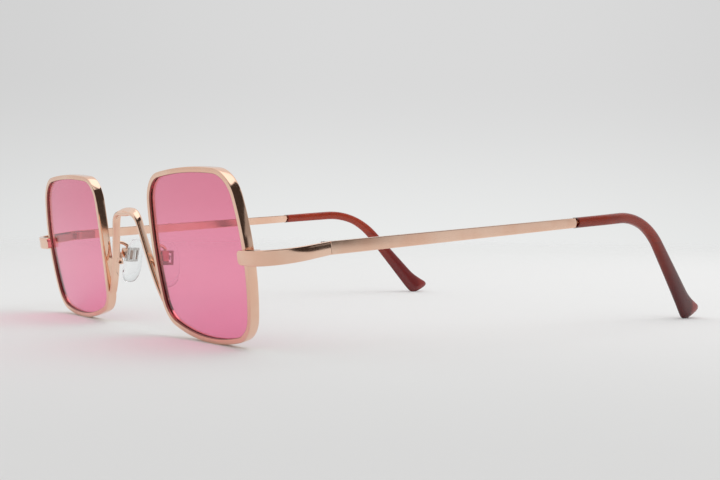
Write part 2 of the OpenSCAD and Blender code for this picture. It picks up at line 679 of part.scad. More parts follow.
module pad_box(side) {
  color(rose) placed(side) difference() {
    in_pad_frame() translate([0, 0, tab_z]) difference() {
      translate([box_from, -box_half, -box_h / 2]) cube([box_to - box_from, 2 * box_half, box_h]);
      translate([box_from - 1, -tab_t / 2 - box_gap, -box_h])
        cube([box_to - box_wall - box_from + 1, tab_t + 2 * box_gap, 2 * box_h]);
    }
    at_tab() translate([0, 0, -2 * box_half]) cylinder(h = 4 * box_half, r = pad_screw_r + bore_clear);
  }
}

module pad_screw(side) {
  color(steel) placed(side) at_tab() {
    translate([0, 0, -box_half]) cylinder(h = 2 * box_half + solder, r = pad_screw_r);
    translate([0, 0, box_half + solder]) cylinder(h = pad_head_h, r = pad_head_r);
  }
}

module pad_core(side) {
  color(steel) placed(side) difference() {
    union() {
      in_pad_frame() {
        translate([insert_x, -insert_w / 2, tab_z - insert_h / 2]) cube([insert_t, insert_w, insert_h]);
        translate([insert_x, -tab_t / 2, tab_z - tab_r]) cube([tab_x - insert_x, tab_t, 2 * tab_r]);
      }
      at_tab() translate([0, 0, -tab_t / 2]) cylinder(h = tab_t, r = tab_r);
    }
    at_tab() translate([0, 0, -tab_t]) cylinder(h = 2 * tab_t, r = pad_screw_r + bore_clear);
  }
}

module nose_pad(side) {
  color(clear) placed(side) in_pad_frame() difference() {
    skin(pad_rings);
    translate([insert_x - lens_clear, -insert_w / 2 - lens_clear, tab_z - insert_h / 2 - lens_clear])
      cube([pad_t, insert_w + 2 * lens_clear, insert_h + 2 * lens_clear]);
  }
}

rim(left);  // rim_left
rim(right);  // rim_right
lens(left);  // lens_left
lens(right);  // lens_right
bridge();
end_piece(left);  // end_piece_left
end_piece(right);  // end_piece_right
rim_lock(left);  // rim_lock_left
rim_lock(right);  // rim_lock_right
rim_lock_screw(left);  // rim_lock_screw_left
rim_lock_screw(right);  // rim_lock_screw_right
front_hinge(left);  // front_hinge_left
front_hinge(right);  // front_hinge_right
hinge_screw(left);  // hinge_screw_left
hinge_screw(right);  // hinge_screw_right
temple_hinge(left);  // temple_hinge_left
temple_hinge(right);  // temple_hinge_right
temple(left);  // temple_left
temple(right);  // temple_right
temple_tip(left);  // temple_tip_left
temple_tip(right);  // temple_tip_right
pad_arm(left);  // pad_arm_left
pad_arm(right);  // pad_arm_right
pad_box(left);  // pad_box_left
pad_box(right);  // pad_box_right
pad_screw(left);  // pad_screw_left
pad_screw(right);  // pad_screw_right
pad_core(left);  // pad_core_left
pad_core(right);  // pad_core_right
nose_pad(left);  // nose_pad_left
nose_pad(right);  // nose_pad_right
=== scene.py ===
import math

import bmesh
import bpy
from mathutils import Matrix, Vector


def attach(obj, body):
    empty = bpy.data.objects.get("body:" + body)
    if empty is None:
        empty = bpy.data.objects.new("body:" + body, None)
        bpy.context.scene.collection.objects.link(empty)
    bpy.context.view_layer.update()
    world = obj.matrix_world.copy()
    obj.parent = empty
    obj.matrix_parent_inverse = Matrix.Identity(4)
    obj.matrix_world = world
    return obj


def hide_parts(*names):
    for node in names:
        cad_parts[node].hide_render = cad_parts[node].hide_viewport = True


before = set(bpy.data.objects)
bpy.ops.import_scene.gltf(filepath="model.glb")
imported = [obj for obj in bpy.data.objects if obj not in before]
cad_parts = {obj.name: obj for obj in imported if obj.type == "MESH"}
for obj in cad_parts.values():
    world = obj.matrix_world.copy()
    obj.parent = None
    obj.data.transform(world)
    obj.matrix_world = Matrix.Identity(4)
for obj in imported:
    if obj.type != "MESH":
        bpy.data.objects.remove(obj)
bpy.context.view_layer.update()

print("frame loaded,", len(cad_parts), "nodes")

# Shapes are in millimetres, which buildMesh turns into metres. Looks, floor, lamp and camera are in metres.
# x runs across the face, y towards the ears, z up. side is 1 for the wearer's left and -1 for the right.
sides = (("Left", "left", 1), ("Right", "right", -1))


def sinOf(angle):
    return math.sin(math.radians(angle))


def cosOf(angle):
    return math.cos(math.radians(angle))


def unit(angle):
    return Vector((cosOf(angle), sinOf(angle)))


def heading(p):
    return math.degrees(math.atan2(p[1], p[0]))


def mix(a, b, t):
    return a + (b - a) * t


def share(s, start, stop):
    return min(max((s - start) / (stop - start), 0), 1)


def ease(t):
    return t * t * (3 - 2 * t)


def steps(start, stop, count):
    return [mix(start, stop, k / count) for k in range(count + 1)]


def turns(count):
    return steps(0, 360, count)[:-1]


def power(c, exponent):
    return math.copysign(abs(c) ** exponent, c)


def bezier(a, b, c, d, t):
    return a * (1 - t) ** 3 + 3 * b * t * (1 - t) ** 2 + 3 * c * t * t * (1 - t) + d * t ** 3


def wayAt(line, k):
    return (line[min(k + 1, len(line) - 1)] - line[max(k - 1, 0)]).normalized()


# An arc the short way round, without its last point.
def arc(centre, radius, start, stop, count):
    stop = start + (stop - start + 180) % 360 - 180
    return [centre + radius * unit(mix(start, stop, k / count)) for k in range(count)]


# Rings of equal length become one skin: its points and faces.
def loft(rings, closed=False, capped=True):
    count = len(rings[0])
    points = [p for ring in rings for p in ring]
    faces = []
    for i in range(len(rings) if closed else len(rings) - 1):
        for j in range(count):
            a, b = i * count + j, i * count + (j + 1) % count
            faces.append((a, b, (b + count) % len(points), (a + count) % len(points)))
    if capped and not closed:
        faces.append(tuple(range(count))[::-1])
        faces.append(tuple(range(len(points) - count, len(points))))
    return points, faces


def joined(*shapes):
    points, faces = [], []
    for morePoints, moreFaces in shapes:
        shift = len(points)
        points += morePoints
        faces += [tuple(k + shift for k in face) for face in moreFaces]
    return points, faces


def buildMesh(name, shape, side, material, sharp=38):
    points, faces = shape
    mesh = bpy.data.meshes.new(name)
    mesh.from_pydata([(side * p[0] / 1000, p[1] / 1000, p[2] / 1000) for p in points], [], faces)
    work = bmesh.new()
    work.from_mesh(mesh)
    bmesh.ops.recalc_face_normals(work, faces=work.faces)
    work.to_mesh(mesh)
    work.free()
    mesh.shade_smooth()
    mesh.set_sharp_from_angle(angle=math.radians(sharp))
    mesh.materials.append(material)
    piece = bpy.data.objects.new(name, mesh)
    bpy.context.scene.collection.objects.link(piece)
    return piece


def settle(piece, body, slotName, *nodes):
    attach(piece, body)
    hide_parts(*nodes)


# Rows of points down each flat side of a slab, as shares of its half height. The outer ones keep it flat.
slabRows = (0.96, 0.75, 0.5, 0.25, 0, -0.25, -0.5, -0.75, -0.96)


# A rounded rectangle about 0, with its two a sides crowned.
def slab(halfA, halfB, edge, crown=0.0, edgeSteps=5):
    points = []
    for a, b, start in ((1, -1, -90), (1, 1, 0), (-1, 1, 90), (-1, -1, 180)):
        corner = Vector((a * (halfA - edge), b * (halfB - edge)))
        points += [corner + edge * unit(angle) for angle in steps(start, start + 90, edgeSteps)]
        if a == -b:
            points += [Vector((a * halfA, b * (halfB - edge) * row)) for row in slabRows]
    return [Vector((p.x - math.copysign(crown * (p.y / halfB) ** 2, p.x), p.y)) for p in points]


# A polygon of (x, y, cut) whose corners are rounded off.
def rounded(corners, cornerSteps=4):
    points = []
    for k, (x, y, cut) in enumerate(corners):
        here = Vector((x, y))
        if cut == 0:
            points.append(here)
            continue
        start = here + cut * (Vector(corners[k - 1][:2]) - here).normalized()
        stop = here + cut * (Vector(corners[(k + 1) % len(corners)][:2]) - here).normalized()
        points += [mix(mix(start, here, t), mix(here, stop, t), t) for t in steps(0, 1, cornerSteps)]
    return points


class Signal:  # an output socket that takes part in sums
    def __init__(self, graph, socket):
        self.graph, self.socket = graph, socket

    def calc(self, operation, first, second):
        return self.graph.add("ShaderNodeMath", {"operation": operation}, {0: first, 1: second})

    def __add__(self, other):
        return self.calc("ADD", self, other)

    def __radd__(self, other):
        return self.calc("ADD", other, self)

    def __sub__(self, other):
        return self.calc("SUBTRACT", self, other)

    def __rsub__(self, other):
        return self.calc("SUBTRACT", other, self)

    def __mul__(self, other):
        return self.calc("MULTIPLY", self, other)

    def __rmul__(self, other):
        return self.calc("MULTIPLY", other, self)


class Graph:  # a node tree that is filled from code
    def __init__(self, owner):
        owner.use_nodes = True
        self.tree = owner.node_tree
        self.tree.nodes.clear()

    def add(self, kind, settings=None, inputs=None, output=0):
        node = self.tree.nodes.new(kind)
        for key, value in (settings or {}).items():
            setattr(node, key, value)
        for key, value in (inputs or {}).items():
            if isinstance(value, Signal):
                self.tree.links.new(value.socket, node.inputs[key])
            elif isinstance(value, tuple) and node.inputs[key].type == "RGBA":
                node.inputs[key].default_value = (*value, 1)
            else:
                node.inputs[key].default_value = value
        return Signal(self, node.outputs[output]) if node.outputs else node

    def place(self, output="Object"):
        return self.add("ShaderNodeTexCoord", output=output)

    def part(self, vector, axis):  # axis is 0, 1 or 2 for x, y or z
        return self.add("ShaderNodeSeparateXYZ", None, {0: vector}, axis)

    def stretched(self, vector, scale):
        return self.add("ShaderNodeMapping", {"vector_type": "POINT"}, {"Vector": vector, "Scale": scale})

    def noise(self, vector, scale, detail=3.0):
        inputs = {"Vector": vector, "Scale": scale, "Detail": detail}
        return self.add("ShaderNodeTexNoise", None, inputs, "Fac")

    def between(self, value, low, high, start=0.0, stop=1.0):
        return self.add("ShaderNodeMapRange", {"interpolation_type": "SMOOTHSTEP"}, {
            "Value": value, "From Min": low, "From Max": high, "To Min": start, "To Max": stop})

    def tint(self, factor, first, second):
        return self.add("ShaderNodeMix", {"data_type": "RGBA"}, {0: factor, 6: first, 7: second}, 2)

    def bump(self, height, strength, depth):
        return self.add("ShaderNodeBump", None, {"Height": height, "Strength": strength, "Distance": depth})

    def ray(self, kind):
        return self.add("ShaderNodeLightPath", output=kind)

    def principled(self, inputs):
        return self.add("ShaderNodeBsdfPrincipled", None, inputs)

    def shaders(self, factor, first, second):
        return self.add("ShaderNodeMixShader", None, {0: factor, 1: first, 2: second})

    # The lamp's light passes straight through a clear piece, and takes the shadow's colour on its way.
    def lightThrough(self, shader, shadow):
        passing = self.add("ShaderNodeBsdfTransparent", None, {"Color": shadow})
        return self.shaders(self.ray("Is Shadow Ray"), shader, passing)

    def output(self, shader, kind="ShaderNodeOutputMaterial"):
        self.add(kind, None, {"Surface": shader})


def newMaterial(name):
    made = bpy.data.materials.new(name)
    return made, Graph(made)


# Polished rose gold: a slow change of tone, fine rubbing marks, faint smudges and hardly any orange peel.
roseGold = {"light": (0.92, 0.645, 0.50), "deep": (0.88, 0.56, 0.415), "toneScale": 90.0,
            "toneRange": (0.35, 0.65), "polish": 0.075, "marks": 0.05, "markScale": 1400.0,
            "markStretch": (1.0, 0.15, 1.0), "smudge": 0.6, "smudgeScale": 279.0, "smudgeRange": (0.45, 0.75),
            "waviness": 0.05, "waveScale": 560.0, "markDepth": 0.35, "depth": 0.00002}
# Painted shade: the rim's inner wall in front of the lens gets a much darker gold, which stands in for its
# shade. It is also rougher.
grooveShadeLook = dict(roseGold, light=(0.42, 0.25, 0.18), deep=(0.34, 0.19, 0.13), polish=0.22, marks=0.2,
                  waviness=0.2)
hingeLook = dict(roseGold, light=(0.84, 0.55, 0.41), deep=(0.74, 0.43, 0.31), polish=0.16, marks=0.12,
                 waviness=0.12)
screwLook = dict(roseGold, light=(0.66, 0.63, 0.60), deep=(0.54, 0.50, 0.47), polish=0.2, marks=0.2,
                 waviness=0.1)


def metalMaterial(name, look):
    made, g = newMaterial(name)
    place = g.place()
    tone = g.between(g.noise(place, look["toneScale"]), *look["toneRange"])
    marks = g.noise(g.stretched(place, look["markStretch"]), look["markScale"], 4.0)
    smudge = g.between(g.noise(place, look["smudgeScale"], 2.0), *look["smudgeRange"])
    wave = g.noise(place, look["waveScale"], 2.0)
    g.output(g.principled({
        "Base Color": g.tint(tone, look["light"], look["deep"]),
        "Metallic": 1.0,
        "Roughness": look["polish"] + look["marks"] * marks + look["marks"] * look["smudge"] * smudge,
        "Normal": g.bump(wave + look["markDepth"] * marks, look["waviness"], look["depth"])}))
    return made


goldMaterial = metalMaterial("polishedRoseGold", roseGold)
grooveShadeMaterial = metalMaterial("roughGroovePaintedShade", grooveShadeLook)
hingeMaterial = metalMaterial("castRoseGold", hingeLook)
screwMaterial = metalMaterial("turnedSteel", screwLook)

# Tinted lens: clear pink, a little deeper at the top, with the faint ripple of a moulded sheet.
lensLook = {"top": (0.87, 0.245, 0.375), "middle": (0.95, 0.305, 0.46), "bottom": (0.93, 0.275, 0.45),
            "lowZ": 0.004, "midZ": 0.016, "highZ": 0.034, "drift": 0.004, "driftScale": 45.0,
            "haze": 0.02, "hazeScale": 260.0, "hazeRange": (0.5, 0.8),
            "ripple": 0.01, "rippleScale": 30.0, "depth": 0.0001, "shadow": (0.92, 0.66, 0.72), "index": 1.5}


def lensMaterial(look):
    made, g = newMaterial("pinkTint")
    place = g.place()
    cloud = g.noise(place, look["driftScale"], 2.0) - 0.5
    level = g.part(place, 2) + look["drift"] * cloud
    lower = g.tint(g.between(level, look["lowZ"], look["midZ"]), look["bottom"], look["middle"])
    haze = g.noise(place, look["hazeScale"], 3.0)
    glass = g.principled({
        "Base Color": g.tint(g.between(level, look["midZ"], look["highZ"]), lower, look["top"]),
        "Roughness": g.between(haze, *look["hazeRange"], 0.0, look["haze"]),
        "IOR": look["index"], "Transmission Weight": 1.0,
        "Normal": g.bump(g.noise(place, look["rippleScale"], 1.0), look["ripple"], look["depth"])})
    g.output(g.lightThrough(glass, look["shadow"]))
    return made


pinkMaterial = lensMaterial(lensLook)

# Acetate sleeve: red brown and a little see-through, with streaks along it. Its leg is darker. Painted shade
# darkens its mouth, and a painted glow reddens its end.
tipLook = {"red": (0.28, 0.024, 0.006), "brown": (0.092, 0.010, 0.010), "mouth": (0.05, 0.020, 0.014),
           # The mouth colour is painted shade in the sleeve's mouth. The end colour is a painted glow of
           # light through its thin tip.
           "end": (0.30, 0.040, 0.034), "mouthShadeY": (0.0156, 0.0168), "legY": (0.047, 0.064),
           "endY": (0.0722, 0.0748), "cloudScale": 70.0, "legDrift": 0.006, "endGlowDrift": 0.002, "streak": 0.35,
           "streakScale": 900.0, "streakStretch": (1.0, 0.12, 1.0), "streakRange": (0.45, 0.7), "gloss": 0.16,
           "cloudy": 0.1, "waviness": 0.04, "streakDepth": 0.15, "depth": 0.00003}
# Painted light: the right sleeve gets a lighter copy of the same acetate, standing in for the light that
# falls on its side.
rightSleeveLitLook = dict(tipLook, red=(0.40, 0.050, 0.022), brown=(0.17, 0.018, 0.018), end=(0.26, 0.030, 0.026))


def tipMaterial(name, look):
    made, g = newMaterial(name)
    place = g.place()
    along = g.part(place, 1)
    cloud = g.noise(place, look["cloudScale"], 3.0)
    streak = g.noise(g.stretched(place, look["streakStretch"]), look["streakScale"], 3.0)
    leg = g.between(along + look["legDrift"] * (cloud - 0.5), *look["legY"])
    body = g.tint(leg, look["red"], look["brown"])
    streaked = g.tint(look["streak"] * g.between(streak, *look["streakRange"]), body, look["brown"])
    # Painted glow: the sleeve's last few millimetres turn a brighter red, as if lit through.
    glowingEnd = g.tint(g.between(along + look["endGlowDrift"] * cloud, *look["endY"]), streaked, look["end"])
    g.output(g.principled({
        # Painted shade: the first millimetre of the sleeve by its mouth is nearly black.
        "Base Color": g.tint(g.between(along, *look["mouthShadeY"]), look["mouth"], glowingEnd),
        "Roughness": look["gloss"] + look["cloudy"] * cloud,
        "IOR": 1.45, "Transmission Weight": 0.1,
        "Subsurface Weight": 0.2, "Subsurface Radius": (1.0, 0.25, 0.15), "Subsurface Scale": 0.0015,
        "Normal": g.bump(cloud + look["streakDepth"] * streak, look["waviness"], look["depth"])}))
    return made


# The right sleeve's lighter acetate is painted light.
acetate = {1: tipMaterial("redBrownAcetate", tipLook), -1: tipMaterial("acetatePaintedLight", rightSleeveLitLook)}

# Clear silicone: soft gloss, a grain that shows only up close.
padLook = {"clear": (0.97, 0.98, 0.985), "milk": (0.93, 0.945, 0.95), "cloudScale": 300.0,
           "cloudRange": (0.4, 0.7), "gloss": 0.04, "cloudy": 0.08, "grain": 0.05, "grainScale": 1200.0,
           "depth": 0.00003, "shadow": (0.93, 0.93, 0.93), "index": 1.13}


def siliconeMaterial(look):
    made, g = newMaterial("clearSilicone")
    place = g.place()
    cloud = g.between(g.noise(place, look["cloudScale"], 2.0), *look["cloudRange"])
    soft = g.principled({
        "Base Color": g.tint(cloud, look["clear"], look["milk"]),
        "Roughness": look["gloss"] + look["cloudy"] * cloud,
        "IOR": look["index"], "Transmission Weight": 1.0,
        "Normal": g.bump(g.noise(place, look["grainScale"], 2.0), look["grain"], look["depth"])})
    g.output(g.lightThrough(soft, look["shadow"]))
    return made


padMaterial = siliconeMaterial(padLook)
print("materials made")

# Rims: four side arcs, which are the temple side, top, nose side and bottom, with a corner arc after each.
rim = {"gap": 27.8, "width": 39.5, "height": 39.0, "y": -73.9762, "z": 19.1895,
       "bulge": (49.0, 109.0, 103.0, 50.0), "turn": (1.1, 0.0, 3.1, -3.8), "corner": (8.7, 7.3, 7.4, 7.5),
       "lean": 9.1, "wrap": 1.7, "ball": 392.0, "face": 1.25, "front": -0.1, "back": 2.2, "groove": 1.0,
       "edge": 0.17, "innerEdge": 0.1, "lip": 0.04, "crown": 0.05, "draft": 0.045,
       "shadeInside": 0.9, "shadeFront": 0.8, "endHeight": 0.3, "slit": 0.16, "sideSteps": 28,
       "cornerSteps": 20}
rimMiddle = Vector(((rim["gap"] + rim["width"]) / 2, rim["y"], rim["z"]))
sideAngle = [90 * i + rim["turn"][i] for i in range(4)]
sideAway = (rim["width"] / 2, rim["height"] / 2) * 2
sideCentre = [unit(sideAngle[i]) * (sideAway[i] - rim["bulge"][i]) for i in range(4)]


def cornerCentre(i):
    j = (i + 1) % 4
    a, b = sideCentre[i], sideCentre[j]
    radiusA, radiusB = rim["bulge"][i] - rim["corner"][i], rim["bulge"][j] - rim["corner"][i]
    way = b - a
    along = (radiusA ** 2 - radiusB ** 2 + way.length_squared) / (2 * way.length)
    across = Vector((-way.y, way.x)).normalized() * math.sqrt(radiusA ** 2 - along ** 2)
    middle = a + way.normalized() * along
    outward = unit(sideAngle[i]) + unit(sideAngle[j])
    return middle + across if across.dot(outward) > 0 else middle - across


cornerMiddle = [cornerCentre(i) for i in range(4)]


def sideArc(i, inset, start=None, stop=None):
    start = heading(cornerMiddle[i - 1] - sideCentre[i]) if start is None else start
    stop = heading(cornerMiddle[i] - sideCentre[i]) if stop is None else stop
    return arc(sideCentre[i], rim["bulge"][i] - inset, start, stop, rim["sideSteps"])


def cornerArc(i, inset):
    start = heading(cornerMiddle[i] - sideCentre[i])
    stop = heading(cornerMiddle[i] - sideCentre[(i + 1) % 4])
    return arc(cornerMiddle[i], rim["corner"][i] - inset, start, stop, rim["cornerSteps"])


def slitAngle(v):
    return math.degrees(math.asin((v - sideCentre[0].y) / rim["bulge"][0]))


# The rim is slit on its temple side, behind the end piece.
def openOutline(inset):
    top = slitAngle(rim["endHeight"] + rim["slit"] / 2)
    bottom = slitAngle(rim["endHeight"] - rim["slit"] / 2)
    line = sideArc(0, inset, start=top) + cornerArc(0, inset)
    for i in (1, 2, 3):
        line += sideArc(i, inset) + cornerArc(i, inset)
    return line + sideArc(0, inset, stop=bottom) + [sideCentre[0] + (rim["bulge"][0] - inset) * unit(bottom)]


def closedOutline(inset):
    return [p for i in range(4) for p in sideArc(i, inset) + cornerArc(i, inset)]


def sag(p):
    return p.length_squared / (2 * rim["ball"])


def rimPoint(p, back):
    y = back * cosOf(rim["lean"]) - p.y * sinOf(rim["lean"])
    return rimMiddle + Vector((
        p.x * cosOf(rim["wrap"]) - y * sinOf(rim["wrap"]),
        p.x * sinOf(rim["wrap"]) + y * cosOf(rim["wrap"]),
        back * sinOf(rim["lean"]) + p.y * cosOf(rim["lean"])))


# A point of a plane that stands at y and leans as the rims do.
def leaningPoint(y, x, back, up):
    return Vector((x, y + back * cosOf(rim["lean"]) - up * sinOf(rim["lean"]),
                   rim["z"] + back * sinOf(rim["lean"]) + up * cosOf(rim["lean"])))


lens = {"thickness": 1.2, "bite": 0.45, "gap": 0.04, "rings": (1.0, 0.97, 0.9, 0.78, 0.62, 0.44, 0.26, 0.1)}
grooveHalf = lens["thickness"] / 2 + lens["gap"]


# The wire cut through: x runs into the lens and y backwards.
def rimSection():
    face, front, back, groove = rim["face"], rim["front"], rim["back"], rim["groove"]
    corners = [
        (0, front, rim["edge"]), (face, front, rim["innerEdge"]), (face, groove - grooveHalf, rim["lip"]),
        (face - lens["bite"] - lens["gap"], groove, 0), (face, groove + grooveHalf, rim["lip"]),
        (face, back, rim["innerEdge"]), (0, back, rim["edge"])]
    outside = [(0, mix(front, back, k / 8), 0) for k in (6, 5, 4, 3, 2)]
    middle, half = (front + back) / 2, (back - front) / 2
    return [Vector((q.x + (1 - q.x / face) * (
        rim["crown"] * ((q.y - middle) / half) ** 2 + rim["draft"] * (q.y - front)), q.y))
        for q in rounded(corners + outside)]


def rimShape(section):
    outer = openOutline(0)
    lines = [openOutline(q.x) for q in section]
    return loft([[rimPoint(line[k], q.y + sag(outer[k])) for q, line in zip(section, lines)]
                 for k in range(len(outer))])


# Strips of the rim's skin that face the lens in front of it. They are rougher, and a much darker gold paints
# the shade on them.
def shadedGrooveStrips(section):
    return [k for k, (p, q) in enumerate(zip(section, section[1:] + section[:1]))
            if min(p.x, q.x) > rim["shadeInside"] and min(p.y, q.y) < rim["shadeFront"]]


def lensShape():
    half = lens["thickness"] / 2
    seat, reach = rim["face"] - lens["gap"], rim["face"] - lens["bite"]
    outer = closedOutline(0)

    def ring(inset, back, scale):
        return [rimPoint(p * scale, rim["groove"] + back + sag(e * scale))
                for p, e in zip(closedOutline(inset), outer)]

    rings = [ring(seat, -half, scale) for scale in reversed(lens["rings"])]
    rings += [ring(reach, 0, 1)] + [ring(seat, half, scale) for scale in lens["rings"]]
    points, faces = loft(rings, capped=False)
    count = len(outer)
    for first, back in ((0, -half), (len(points) - count, half)):
        points.append(rimPoint(Vector((0, 0)), rim["groove"] + back))
        faces += [(first + j, first + (j + 1) % count, len(points) - 1) for j in range(count)]
    return points, faces


wireSection = rimSection()
paintedShade = shadedGrooveStrips(wireSection)
for sideName, nodeSide, side in sides:
    rimPiece = buildMesh("rimWire" + sideName, rimShape(wireSection), side, goldMaterial)
    rimPiece.data.materials.append(grooveShadeMaterial)
    # Painted shade: the strips that face the lens take the darker groove gold.
    for face in rimPiece.data.polygons:
        face.material_index = int(len(face.vertices) == 4 and face.index % len(wireSection) in paintedShade)
    settle(rimPiece, "front", "gold_metal", "rim_" + nodeSide)
    settle(buildMesh("tintedLens" + sideName, lensShape(), side, pinkMaterial, 25), "front", "lens_plastic",
           "lens_" + nodeSide)
print("rims and lenses made")

# Bridge: flat top, two bends and splayed legs that run into the rims. roll tips the top's back edge up.
bridge = {"set": 0.3, "face": 1.25, "depth": 1.9, "crestDepth": 2.6, "edge": 0.52, "crown": 0.05,
          "taper": 0.45, "rise": 9.7, "flat": 2.5, "bend": 4.2, "splay": 20.0, "foot": 10.8,
          "footSplay": 36.0, "footGap": 0.1, "sink": 0.5, "roll": 42.0, "legRoll": -7.0,
          "rollFrom": 0.4, "rollTo": 8.4}
noseSide = Vector((-rim["width"] / 2, 0))
bridgeY = rimPoint(noseSide, sag(noseSide)).y + bridge["set"] + bridge["depth"] / 2


def noseEdge(v):
    c = sideCentre[2]
    return rimMiddle.x + (c.x - math.sqrt(rim["bulge"][2] ** 2 - (v - c.y) ** 2)) * cosOf(rim["wrap"])


# The bridge's middle line from its top to its left foot.
def bridgeHalf():
    b = bridge

    def bendAt(angle):
        return Vector((b["flat"] + b["bend"] * sinOf(angle), b["rise"] - b["bend"] * (1 - cosOf(angle))))

    turn = 90 - b["splay"]
    footWay = unit(b["footSplay"] - 90)
    bendEnd = bendAt(turn)
    legEnd = Vector((noseEdge(-b["foot"]) - b["face"] / 2 - b["footGap"], -b["foot"]))
    pull = (legEnd - bendEnd).length / 3
    legNear, legFar = bendEnd + pull * unit(b["splay"] - 90), legEnd - pull * footWay
    line = [Vector((x, b["rise"])) for x in steps(0, b["flat"], 5)[:-1]]
    line += [bendAt(angle) for angle in steps(0, turn, 18)[:-1]]
    line += [bezier(bendEnd, legNear, legFar, legEnd, t) for t in steps(0, 1, 24)]
    return line + [legEnd + footWay * b["sink"]]


def bridgeShape():
    b = bridge
    half = bridgeHalf()
    line = [Vector((-p.x, p.y)) for p in reversed(half[1:])] + half
    fromTop = [0.0]
    for p, q in zip(half, half[1:]):
        fromTop.append(fromTop[-1] + (q - p).length)
    fromTop = fromTop[:0:-1] + fromTop
    section = [Vector((q.x * (1 - b["taper"] * (q.y / b["depth"] + 0.5)), q.y))
               for q in slab(b["face"] / 2, b["depth"] / 2, b["edge"], b["crown"])]
    rings = []
    for k, p in enumerate(line):
        way = wayAt(line, k)
        crest = ease(share(fromTop[k], b["rollTo"], b["rollFrom"]))
        roll = mix(b["legRoll"], b["roll"], crest)
        rings.append([])
        for q in section:
            deep = q.y * mix(1, b["crestDepth"] / b["depth"], crest)
            out = q.x * cosOf(roll) + deep * sinOf(roll)
            rings[-1].append(leaningPoint(
                bridgeY, p.x - way.y * out, deep * cosOf(roll) - q.x * sinOf(roll), p.y + way.x * out))
    return loft(rings)


settle(buildMesh("noseBridge", bridgeShape(), 1, goldMaterial), "front", "gold_metal", "bridge")

# End pieces: a strip that starts over the rim, bends round the corner of the face and ends at the hinge.
endPiece = {"overlap": 0.55, "reach": 11.5, "gap": 0.05, "thick": 1.1, "tall": 3.15, "tallBack": 2.75,
            "length": 14.3, "bend": 9.0, "round": 1.1, "edge": 0.15, "softEnd": 0.06,
            "softReach": 0.12, "crown": 0.13, "crownY": (0.3, 8.0),
            "stations": (0.0, 0.03, 0.12, 0.25, 0.4, 0.6, 0.85, 1.1, 1.8, 2.8, 3.8)}
rimSideX = rimMiddle.x + rim["width"] / 2 * cosOf(rim["wrap"])
endStartX = rimSideX - rim["face"] - endPiece["overlap"]
endSideX = rimSideX + endPiece["reach"]
# The strip's back lies just in front of the rim's inner edge.
rimSeat = Vector((rim["width"] / 2 - rim["face"], rim["endHeight"]))
rimFront = rimPoint(rimSeat, sag(rimSeat))
endAhead = endPiece["thick"] + endPiece["gap"] - (rimFront.z - rim["z"]) * sinOf(rim["lean"])
endY = rimFront.y - endAhead / cosOf(rim["lean"])


def endPoint(x, y, z):
    return leaningPoint(endY, x, y, z + rim["endHeight"])


def endShape():
    e = endPiece
    bendMiddle = Vector((endSideX - e["bend"], e["bend"]))
    stations = [(endStartX + s, 0.0, -90.0) for s in e["stations"]]
    stations += [(*(bendMiddle + e["bend"] * unit(angle)), angle) for angle in steps(-90, 0, 30)]
    stations += [(endSideX, y, 0.0) for y in steps(e["bend"], e["length"] - e["softEnd"], 8)[1:]]
    stations.append((endSideX, e["length"], 0.0))
    rings = []
    for k, (x, y, away) in enumerate(stations):
        half = mix(e["tall"], e["tallBack"], share(y, e["thick"], e["length"])) / 2
        fromStart = x - endStartX
        if fromStart < e["round"]:
            half += math.sqrt(e["round"] ** 2 - (e["round"] - fromStart) ** 2) - e["round"]
        soft = e["softEnd"] * max(1 - share(fromStart, 0, e["softReach"]), float(k == len(stations) - 1))
        crown = e["crown"] * ease(share(y, *e["crownY"]))
        section = slab(e["thick"] / 2 - soft, half - soft, min(e["edge"], half - soft), crown)
        out = unit(away)
        rings.append([endPoint(x + out.x * (q.x - e["thick"] / 2), y + out.y * (q.x - e["thick"] / 2), q.y)
                      for q in section])
    return loft(rings)


for sideName, nodeSide, side in sides:
    settle(buildMesh("endStrip" + sideName, endShape(), side, goldMaterial), "front", "gold_metal",
           "end_piece_" + nodeSide)
print("bridge and end pieces made")

# Temples: a straight arm, the ear bend and a sloping tip. The arm's core wire runs on inside the sleeve.
temple = {"seamGap": 0.05, "rise": 4.1, "bendStart": 93.8, "bendRadius": 26.0, "slope": 43.5,
          "length": 144.884, "inward": 5.3, "inwardFrom": 87.8, "inwardPower": 1.15, "thick": 1.1,
          "tallEnd": 2.4, "armLength": 76.0, "edge": 0.13, "crown": 0.02, "lean": 0.08, "softEnd": 0.06,
          "softMouth": 0.1, "domed": 0.5, "core": 0.55, "coreEdge": 0.98, "coreFrom": 1.2, "coreShort": 9.0,
          "coreEnd": 0.25}
templeX = endSideX - temple["thick"] / 2
seam = Vector(endPoint(endSideX, endPiece["length"], 0)[1:])  # its y and z
bendArc = temple["bendRadius"] * math.radians(temple["rise"] + temple["slope"])


def slopeAt(s):
    bent = share(s, temple["bendStart"], temple["bendStart"] + bendArc)
    return temple["rise"] - (temple["rise"] + temple["slope"]) * bent


def bendAlong(slope):
    return temple["bendRadius"] * Vector((
        sinOf(temple["rise"]) - sinOf(slope), cosOf(slope) - cosOf(temple["rise"])))


# The middle line in the side view, at s along it from the hinge.
def lineAt(s):
    straight = seam + min(s, temple["bendStart"]) * unit(temple["rise"])
    tail = max(s - temple["bendStart"] - bendArc, 0)
    return straight + bendAlong(slopeAt(s)) + tail * unit(-temple["slope"])


def templePoint(s, across, up, turn):
    p = lineAt(s)
    inward = temple["inward"] * share(s, temple["inwardFrom"], temple["length"]) ** temple["inwardPower"]
    return Vector((templeX - inward + across, p.x - up * sinOf(turn), p.y + up * cosOf(turn)))


